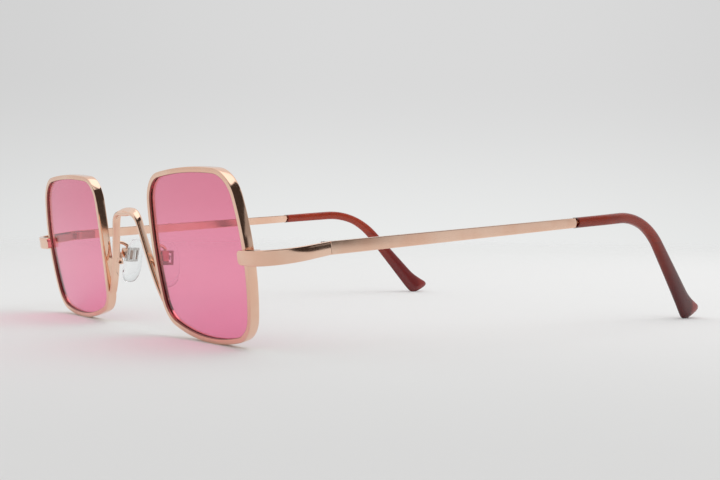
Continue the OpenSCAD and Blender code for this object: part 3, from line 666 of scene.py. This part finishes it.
def armShape():
    t = temple
    end, coreStop = t["armLength"], t["length"] - t["coreShort"]

    def half(s):
        return mix(endPiece["tallBack"], t["tallEnd"], s / end) / 2

    def ring(s, soft, dome=0.0):
        turn = mix(rim["lean"], t["rise"], ease(share(s, t["seamGap"], 1)))
        points = []
        for q in slab(t["thick"] / 2 - soft, half(s) - soft, t["edge"]):
            high = q.y / half(s)
            inner = t["crown"] * high ** 2 if q.x > 0 else t["lean"] * high
            points.append(templePoint(s + dome * (1 - high ** 2), q.x - inner, q.y, turn))
        return points

    def coreRing(s, radius, dome=0.0):
        return [templePoint(s + dome * (1 - (q.y / half(end)) ** 2), q.x, q.y, slopeAt(s))
                for q in slab(radius, radius, radius * t["coreEdge"])]

    rings = [ring(t["seamGap"], t["softEnd"]), ring(t["seamGap"] + t["softEnd"], 0)]
    rings += [ring(s, 0) for s in (0.5, 1, 2, 5)] + [ring(s, 0) for s in steps(10, end - t["softMouth"], 14)]
    rings += [ring(end, t["softMouth"], t["domed"]), coreRing(end, t["core"], t["domed"])]
    rings += [coreRing(s, t["core"]) for s in steps(end + t["coreFrom"], coreStop, 40)]
    rings.append(coreRing(coreStop + t["coreEnd"], t["core"] / 2))
    return loft(rings)


# Sleeves: an oval that widens at the end. Its mouth is notched at the sides, and its lips reach over the arm.
tip = {"gap": 0.1, "sides": 36, "squareness": 0.82, "half": 1.375, "mouthHalf": 1.32, "mouthThick": 1.9,
       "thick": 2.5, "wide": 6.2, "paddle": 40.0, "widening": 1.15, "flare": 9.0, "flareRise": 3.0,
       "skew": 22.0, "round": 2.4, "endPower": 0.7, "lip": 0.62, "notch": 0.5, "lipPower": 1.6, "bore": 0.64,
       "boreEnd": 0.3, "boreFrom": 1.6,
       "hollow": ((1.4, 0.6, 1.22, 0.0), (0.2, 0.63, 1.25, 1.0)),  # depth, half sizes, share of the notch
       "mouth": ((0.0, 1.0, 0.04), (0.06, 1.0, 0.0), (0.5, 0.75, 0.0))}  # depth, share of the notch, inset


def rearHalf(d):
    return tip["half"] + tip["flareRise"] * share(d, tip["flare"], 0) ** 2


def frontHalf(d):
    return tip["half"] + (tip["wide"] - 2 * tip["half"]) * share(d, tip["paddle"], 0) ** tip["widening"]


def endRound(d):
    return math.sqrt(max(1 - share(d, tip["round"], 0) ** 2, 0.0004))  # never quite a point


def tipShape():
    t = tip
    start, length = temple["armLength"] + t["gap"], temple["length"]
    angles = [360 * (k + 0.5) / t["sides"] - 90 for k in range(t["sides"])]

    def ring(s, a, b, mouth=0.0, squareness=t["squareness"], shift=0.0, turn=None):
        turn = slopeAt(s) if turn is None else turn
        points = []
        for angle in angles:
            lip = mouth * (t["notch"] - (t["notch"] + t["lip"]) * abs(sinOf(angle)) ** t["lipPower"])
            points.append(templePoint(s + lip, a * power(cosOf(angle), squareness),
                                      b * power(sinOf(angle), squareness) + shift, turn))
        return points

    def outer(s, mouth=0.0, inset=0.0):
        d = length - s
        opened = ease(share(s, start, temple["bendStart"]))
        half = mix(t["mouthHalf"] - t["half"], 0, opened) + (rearHalf(d) + frontHalf(d)) / 2
        thick = mix(t["mouthThick"], t["thick"], opened) / 2
        turn = slopeAt(s) if d > t["flare"] else -temple["slope"] - t["skew"] * ease(share(d, t["flare"], 0))
        return ring(s, (thick - inset) * endRound(d), (half - inset) * endRound(d) ** t["endPower"], mouth,
                    shift=(rearHalf(d) - frontHalf(d)) / 2, turn=turn)

    boreStop = length - temple["coreShort"] + t["boreEnd"]
    rings = [ring(s, t["bore"], t["bore"], squareness=1) for s in steps(boreStop, start + t["boreFrom"], 30)]
    rings += [ring(start + s, a, b, mouth) for s, a, b, mouth in t["hollow"]]
    rings += [outer(start + s, mouth, inset) for s, mouth, inset in t["mouth"]]
    rings += [outer(s) for s in steps(start + t["boreFrom"], length - t["round"], 90)]
    rings += [outer(length - t["round"] * (1 - sinOf(angle))) for angle in steps(0, 90, 12)[1:]]
    return loft(rings)


for sideName, nodeSide, side in sides:
    body = nodeSide + "_temple"
    settle(buildMesh("templeArm" + sideName, armShape(), side, goldMaterial), body, "gold_metal",
           "temple_" + nodeSide)
    settle(buildMesh("templeSleeve" + sideName, tipShape(), side, acetate[side]), body, "tip_plastic",
           "temple_tip_" + nodeSide)
print("temples and sleeves made")

# Nose pads: x is the pad's outward normal, y its width and z its length.
pad = {"x": 9.4, "behind": 5.0, "drop": 2.9, "splay": 30.0, "tilt": 10.5, "length": 11.3, "width": 6.7,
       "thick": 2.0, "squareness": 0.82, "taper": 0.14, "sides": 48, "domePower": 0.55, "draw": 0.18,
       "drawPower": 2.2, "pocketX": 0.46, "pocketHalf": (1.94, 1.79), "pocketZ": 1.5, "pocketSquare": 0.4}
padMiddle = Vector((pad["x"], bridgeY + pad["behind"], rim["z"] - pad["drop"]))


def padPoint(x, y, z):
    tiltedX = x * cosOf(pad["tilt"]) - z * sinOf(pad["tilt"])
    tiltedZ = x * sinOf(pad["tilt"]) + z * cosOf(pad["tilt"])
    return padMiddle + Vector((
        tiltedX * cosOf(pad["splay"]) + y * sinOf(pad["splay"]),
        y * cosOf(pad["splay"]) - tiltedX * sinOf(pad["splay"]), tiltedZ))


# Its front is domed, its sides draw in to the back, and a pocket in the back holds the insert.
def padShape():
    halfY, halfZ = pad["width"] / 2, pad["length"] / 2
    pocketY, pocketZ = pad["pocketHalf"]

    def ring(x, scale):
        return [padPoint(x * pad["thick"],
                         scale * halfY * power(cosOf(a), pad["squareness"]) * (1 + pad["taper"] * sinOf(a)),
                         -scale * halfZ * power(sinOf(a), pad["squareness"])) for a in turns(pad["sides"])]

    def pocket(x):
        return [padPoint(x, pocketY * power(cosOf(a), pad["pocketSquare"]),
                         pad["pocketZ"] - pocketZ * power(sinOf(a), pad["pocketSquare"]))
                for a in turns(pad["sides"])]

    rings = [ring(-0.5 * cosOf(a), sinOf(a) ** pad["domePower"]) for a in steps(0.6, 90, 16)]
    rings += [ring(x, 1 - pad["draw"] * share(x, 0.2, 0.5) ** pad["drawPower"]) for x in steps(0.1, 0.5, 10)]
    rings += [pocket(pad["thick"] / 2), pocket(pad["pocketX"])]
    return loft(rings)


# Pad arms: a round wire from the back of a bridge leg, out and up in a loop and down to the box.
padArm = {"rootX": 10.1222, "rootUp": -3.2, "boxX": 2.435, "boxZ": 2.75, "radius": 0.4, "gap": 0.05,
          "foot": ((-0.4, -0.1, -1.8), (-0.2, -0.15, -0.8), (0, 0, 0), (1, 0.1, 1.8), (2.3, -0.5, 3.3)),
          "hook": ((1.3, -2.6, 1.3), (0.7, -1.2, 1.4), (0.1, -0.1, 0.7), (0, 0, 0)),
          "inBox": 0.4, "solder": 0.24, "solderReach": 1.3, "solderPower": 0.7, "footEnd": (0.35, 0.75),
          "sides": 16, "perSpan": 14}


def wireShape():
    behindLeg = bridge["depth"] / 2 + padArm["radius"] + padArm["gap"]
    root = leaningPoint(bridgeY, padArm["rootX"], behindLeg, padArm["rootUp"])
    box = padPoint(padArm["boxX"], 0, padArm["boxZ"])
    down = padPoint(0, 0, -1) - padPoint(0, 0, 0)
    stops = [root + Vector(p) for p in padArm["foot"]]
    stops += [box + Vector(p) for p in padArm["hook"]] + [box + down]
    line = []
    for a, b, c, d in zip(stops, stops[1:], stops[2:], stops[3:]):
        for t in steps(0, 1, padArm["perSpan"])[:-1]:
            line.append(0.5 * (2 * b + (c - a) * t + (2 * a - 5 * b + 4 * c - d) * t * t
                               + (3 * b - a - 3 * c + d) * t ** 3))
    line += [box, box + padArm["inBox"] * down]
    rings = []
    for k, p in enumerate(line):
        first = wayAt(line, k).cross(Vector((0.7, -0.7, 0))).normalized()
        second = wayAt(line, k).cross(first)
        soldered = max(1 - (p - stops[1]).length / padArm["solderReach"], 0) ** padArm["solderPower"]
        radius = padArm["radius"] + padArm["solder"] * soldered
        if k < len(padArm["footEnd"]):
            radius *= padArm["footEnd"][k]
        rings.append([p + radius * (cosOf(a) * first + sinOf(a) * second) for a in turns(padArm["sides"])])
    return loft(rings)


for sideName, nodeSide, side in sides:
    settle(buildMesh("siliconePad" + sideName, padShape(), side, padMaterial), nodeSide + "_pad",
           "pad_silicone", "nose_pad_" + nodeSide)
    settle(buildMesh("padWire" + sideName, wireShape(), side, goldMaterial, 60), "front", "gold_metal",
           "pad_arm_" + nodeSide)
print("nose pads and their arms made")

# Pad inserts: a plate with a window on either side of its middle bar, and a tab with a bore for the screw.
insert = {"back": 0.5, "front": 0.9, "across": (-1.9, -1.35, -0.45, 0.45, 1.35, 1.9),
          "along": (-1.75, -1.15, 1.15, 1.75), "tabHalf": 0.45, "tabRadius": 0.8, "tabX": 2.15, "tabZ": 1.5,
          "tabSquare": 0.25, "bore": 0.44, "soft": 0.06, "sink": 0.02}


def plateShape():
    across, along = insert["across"], insert["along"]
    wide, high = len(across), len(along)
    points = [padPoint(x, y, insert["tabZ"] + z)
              for x in (insert["back"], insert["front"]) for z in along for y in across]
    full = {(i, j) for i in range(wide - 1) for j in range(high - 1) if j != 1 or i % 2 == 0}

    def at(i, j, layer):
        return layer * wide * high + j * wide + i

    faces = []
    for i, j in sorted(full):
        for layer in (0, 1):
            faces.append((at(i, j, layer), at(i + 1, j, layer), at(i + 1, j + 1, layer), at(i, j + 1, layer)))
        for (di, dj), (a, b) in (((0, -1), ((i, j), (i + 1, j))), ((1, 0), ((i + 1, j), (i + 1, j + 1))),
                                 ((0, 1), ((i, j + 1), (i + 1, j + 1))), ((-1, 0), ((i, j), (i, j + 1)))):
            if (i + di, j + dj) not in full:
                faces.append((at(*a, 0), at(*b, 0), at(*b, 1), at(*a, 1)))
    return points, faces


def tabShape():
    radius, half, soft = insert["tabRadius"], insert["tabHalf"], insert["soft"]
    reach = (insert["tabX"] - insert["front"] + insert["sink"]) / radius

    def tabPoint(x, y, z):
        return padPoint(insert["tabX"] + x, y, insert["tabZ"] + z)

    def outline(y, inset):  # round towards the box, square where it meets the plate
        line = []
        for a in turns(48):
            x, z = cosOf(a), sinOf(a)
            if x < 0:
                x, z = reach * power(x, insert["tabSquare"]), power(z, insert["tabSquare"])
            line.append(tabPoint(x * (radius - inset), y, z * (radius - inset)))
        return line

    def bore(y):
        return [tabPoint(insert["bore"] * cosOf(a), y, insert["bore"] * sinOf(a)) for a in turns(48)]

    return loft([bore(half), bore(-half), outline(-half, soft), outline(-half + soft, 0),
                 outline(half - soft, 0), outline(half, soft)], closed=True)


for sideName, nodeSide, side in sides:
    piece = buildMesh("padInsert" + sideName, joined(plateShape(), tabShape()), side, screwMaterial, 30)
    settle(piece, nodeSide + "_pad", "screw_steel", "pad_core_" + nodeSide)

# Screws: a stem, a head with a rounded rim and a driver slot across it. up points out of the head.
hingeScrew = {"stem": 2.2, "stemRadius": 0.5, "head": 0.3, "headRadius": 0.85, "inward": 2.3, "behind": 0.025,
              "up": 1.0}
lockScrew = {"stem": 2.55, "stemRadius": 0.5, "head": 0.35, "headRadius": 0.85, "away": 1.1, "behind": 2.25,
             "down": 1.3}
padScrew = {"stem": 1.82, "stemRadius": 0.4, "head": 0.3, "headRadius": 0.65, "out": 0.96}
screwForm = {"slotHalf": 0.13, "slotFloor": 0.45, "tip": 0.1, "tipShare": 0.8, "under": 0.04,
             "underShare": 0.96, "sunk": 0.02,
             "headEdge": ((0, 0.1), (0.03, 0.04), (0.1, 0))}  # inset and drop of each step of the edge


def screwShape(s, seat, up, slotWay):
    f, stemRadius = screwForm, s["stemRadius"]
    across = (slotWay - slotWay.dot(up) * up).normalized()
    other = up.cross(across)
    head, radius, floor = s["head"], s["headRadius"], f["slotFloor"] * s["head"]

    def spot(x, y, z):
        return seat + across * x + other * y + up * z

    def ring(r, z):
        return [spot(r * cosOf(a), r * sinOf(a), z) for a in turns(48)]

    stem = loft([ring(stemRadius * f["tipShare"], -s["stem"]), ring(stemRadius, f["tip"] - s["stem"]),
                 ring(stemRadius, f["sunk"])])
    base = loft([ring(radius * f["underShare"], 0), ring(radius, f["under"]), ring(radius, floor)])
    halves = []
    start = math.degrees(math.asin(f["slotHalf"] / radius))
    for way in (1, -1):
        rings = []
        for inset, z in ((0, floor), *((inset, head - drop) for inset, drop in f["headEdge"])):
            r = radius - inset
            line = [Vector((r * cosOf(a), way * r * sinOf(a))) for a in steps(start, 180 - start, 24)]
            line += [Vector((x, way * f["slotHalf"])) for x in steps(line[-1].x, line[0].x, 6)[1:-1]]
            rings.append([spot(p.x, p.y, z) for p in line])
        halves.append(loft(rings))
    return joined(stem, base, *halves)


hingeAway = Vector((hingeScrew["behind"], hingeScrew["up"]))
hingeHead = Vector((endSideX - hingeScrew["inward"], *(seam + hingeAway)))
rimSlit = rimPoint(Vector((rim["width"] / 2, rim["endHeight"])), 0)
lockHead = endPoint(rimSlit.x + lockScrew["away"], lockScrew["behind"], -lockScrew["down"])
padHead = padPoint(insert["tabX"], padScrew["out"], insert["tabZ"])
lockWay = Vector((0, sinOf(rim["lean"]), -cosOf(rim["lean"])))
padWay = padPoint(0, 1, 0) - padPoint(0, 0, 0)
screws = (("hingeScrew", hingeScrew, hingeHead, Vector((0, 0, 1)), Vector((1, 0.6, 0)), "hinge_screw_"),
          ("lockScrew", lockScrew, lockHead, lockWay, Vector((0.3, 1, 0)), "rim_lock_screw_"),
          ("padScrew", padScrew, padHead, padWay, Vector((0, 0.2, 1)), "pad_screw_"))
for sideName, nodeSide, side in sides:
    for name, sizes, head, up, slotWay, node in screws:
        piece = buildMesh(name + sideName, screwShape(sizes, head, up, slotWay), side, screwMaterial, 30)
        settle(piece, "front", "screw_steel", node + nodeSide)
print("screws made")

# The small fittings keep their solids, with their edges broken and a finish of their own.
fittings = {"rim_lock_": (hingeMaterial, 0.09), "front_hinge_": (hingeMaterial, 0.07),
            "temple_hinge_": (hingeMaterial, 0.07), "pad_box_": (goldMaterial, 0.08)}
for stem, (material, width) in fittings.items():
    for sideName, nodeSide, side in sides:
        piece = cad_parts[stem + nodeSide]
        piece.data.materials.clear()
        piece.data.materials.append(material)
        bevel = piece.modifiers.new("brokenEdges", "BEVEL")
        bevel.width, bevel.segments = width / 1000, 2
        bevel.limit_method, bevel.angle_limit = "ANGLE", math.radians(35)
print("fittings finished")

# Floor: pale paper that fades into the backdrop. Painted shade makes it brightest behind the glasses and
# darker in front of them.
paper = {"bright": (0.85, 0.85, 0.845), "paintedShade": (0.735, 0.735, 0.73), "shadeWay": Vector((0.786, -0.618, 0.0)),
         "shadeReach": 0.2, "cloud": 0.02, "cloudScale": 40.0, "grey": (0.5, 0.5, 0.5), "rough": 0.85,
         "rougher": 0.1, "size": 6.0, "fadeFrom": 0.15, "fadeTo": 1.1}


def floorMaterial(look):
    made, g = newMaterial("palePaper")
    place = g.place()
    away = g.add("ShaderNodeVectorMath", {"operation": "LENGTH"}, {0: place}, "Value")
    intoShade = g.add("ShaderNodeVectorMath", {"operation": "DOT_PRODUCT"}, {0: place, 1: look["shadeWay"]},
                   "Value")
    cloud = g.noise(place, look["cloudScale"], 2.0)
    # Painted shade: the paper darkens towards the front, away from the lamp behind the glasses.
    tone = g.tint(g.between(intoShade, 0.0, look["shadeReach"]), look["bright"], look["paintedShade"])
    sheet = g.principled({
        "Base Color": g.tint(look["cloud"] * cloud, tone, look["grey"]),
        "Roughness": look["rough"] + look["rougher"] * cloud, "Specular IOR Level": 0.1})
    faded = g.between(away, look["fadeFrom"], look["fadeTo"])
    g.output(g.shaders(faded, sheet, g.add("ShaderNodeBsdfTransparent")))
    return made


floorMesh = bpy.data.meshes.new("studioFloor")
corners = [(x * paper["size"] / 2, y * paper["size"] / 2, 0) for x, y in ((-1, -1), (1, -1), (1, 1), (-1, 1))]
floorMesh.from_pydata(corners, [], [(0, 1, 2, 3)])
floorMesh.materials.append(floorMaterial(paper))
studioFloor = bpy.data.objects.new("studioFloor", floorMesh)
bpy.context.scene.collection.objects.link(studioFloor)

# Room, which the polished metal mirrors: white all round, with a dark screen between two compass angles that
# reaches from a sill up to its top. The sill rises in steps, and a foot fills the space under the first ones.
# Compass angles are in degrees from +x towards +y, and heights are the upward part of a direction.
room = {"light": (0.78, 0.78, 0.78), "white": (0.71, 0.71, 0.71), "above": (0.86, 0.86, 0.86),
        "whiteHeight": (0.1, 0.8), "screen": (0.045, 0.036, 0.032), "from": (-93.0, -90.0),
        "to": (78.0, 75.0), "top": (0.855, 0.835), "sill": -0.005, "soft": 0.012,
        "sillSteps": ((28.0, 31.0, 0.0, 0.17), (31.0, 46.0, 0.0, 0.20), (50.0, 58.0, 0.0, 0.28)),
        "footTo": (38.0, 36.8), "footTop": (0.17, 0.15)}
# Patches of another tone on its walls: colour, strength, start and end angles, and lower edge.
wallPatches = {"narrowShade": ((0.36, 0.35, 0.34), 1.0, (34.5, 36.0), (41.5, 37.5), (-0.08, 0.0)),
               "wideShade": ((0.36, 0.35, 0.34), 0.6, (35.0, 37.0), (64.0, 54.0), (0.0, 0.08)),
               "highShade": ((0.36, 0.35, 0.34), 1.0, (26.0, 30.0), (80.0, 44.0), (0.14, 0.17)),
               "window": ((1.48, 1.48, 1.48), 1.0, (38.0, 46.0), (170.0, 150.0), (0.79, 0.85))}
# The backdrop that the camera sees falls off to either side of its middle.
backdrop = {"horizon": (0.83, 0.84, 0.835), "above": (0.70, 0.70, 0.70), "height": (-0.05, 0.14),
            "middle": 138.0, "fall": (4.0, 30.0), "corner": 0.91}
world = bpy.data.worlds.new("whiteRoom")
bpy.context.scene.world = world


def worldLight():
    g = Graph(world)
    way = g.place("Generated")
    wayX, wayY, wayZ = (g.part(way, axis) for axis in range(3))
    turned = wayX.calc("ARCTAN2", wayY, wayX) * (180 / math.pi)
    first, second, third = (g.between(turned, *rise) for rise in room["sillSteps"])
    raised = g.between(wayZ - (room["sill"] + first + second + third), -room["soft"], room["soft"])
    overSill = g.between(wayZ - room["sill"], -room["soft"], room["soft"])
    foot = g.between(turned, *room["footTo"]) * g.between(wayZ, *room["footTop"]) * overSill
    covered = raised.calc("MAXIMUM", raised, foot) * g.between(wayZ, *room["top"])
    spanned = g.between(turned, *room["from"]) * g.between(turned, *room["to"])
    walls = g.tint(g.between(wayZ, *room["whiteHeight"]), room["white"], room["above"])
    for colour, strength, start, stop, low in wallPatches.values():
        patch = g.between(turned, *start) * g.between(turned, *stop) * g.between(wayZ, *low)
        walls = g.tint(strength * patch, walls, colour)
    mirrored = g.tint(spanned * covered, walls, room["screen"])
    off = turned.calc("ABSOLUTE", turned - backdrop["middle"], 0.0)
    fall = g.between(off, *backdrop["fall"], 1.0, backdrop["corner"])
    sheet = g.tint(g.between(wayZ, *backdrop["height"]), backdrop["horizon"], backdrop["above"])
    behind = g.add("ShaderNodeVectorMath", {"operation": "SCALE"}, {0: sheet, "Scale": fall})
    seen = g.ray("Is Camera Ray") + g.ray("Is Transmission Ray")
    lit = g.tint(g.ray("Is Glossy Ray"), room["light"], mirrored)
    g.output(g.add("ShaderNodeBackground", None, {"Color": g.tint(seen, lit, behind), "Strength": 1.0}),
             "ShaderNodeOutputWorld")


worldLight()

# Lamp: one wide soft box, overhead behind the glasses. The metal mirrors the room's window instead of it.
lamp = {"spot": (0.10, 0.45, 0.75), "size": 0.8, "watts": 2.2}
softBox = bpy.data.lights.new("topLight", "AREA")
softBox.shape, softBox.size, softBox.energy = "SQUARE", lamp["size"], lamp["watts"]
holder = bpy.data.objects.new("topLight", softBox)
holder.location = lamp["spot"]
holder.rotation_euler = (-Vector(lamp["spot"])).to_track_quat("-Z", "Y").to_euler()
holder.visible_glossy = False
bpy.context.scene.collection.objects.link(holder)

# Camera: low, in front of the wearer's left side, looking across both rims towards the right temple.
view = {"spot": (0.22858, -0.181436, 0.02815), "turn": 51.83, "down": 1.325, "roll": 0.611, "lens": 50.4,
        "sensor": 36.0, "near": 0.005}
ahead = Vector((*(unit(view["turn"] + 90) * cosOf(view["down"])), -sinOf(view["down"])))
level = Vector((*unit(view["turn"]), 0))
upright = level.cross(ahead)
right = level * cosOf(view["roll"]) + upright * sinOf(view["roll"])
top = upright * cosOf(view["roll"]) - level * sinOf(view["roll"])
lensBody = bpy.data.cameras.new("photoCamera")
lensBody.lens, lensBody.sensor_width, lensBody.clip_start = view["lens"], view["sensor"], view["near"]
camera = bpy.data.objects.new("photoCamera", lensBody)
camera.matrix_world = Matrix((
    (right.x, top.x, -ahead.x, view["spot"][0]), (right.y, top.y, -ahead.y, view["spot"][1]),
    (right.z, top.z, -ahead.z, view["spot"][2]), (0, 0, 0, 1)))
bpy.context.scene.collection.objects.link(camera)
bpy.context.scene.camera = camera
bpy.context.scene.view_settings.view_transform = "Standard"

print("scene ready")
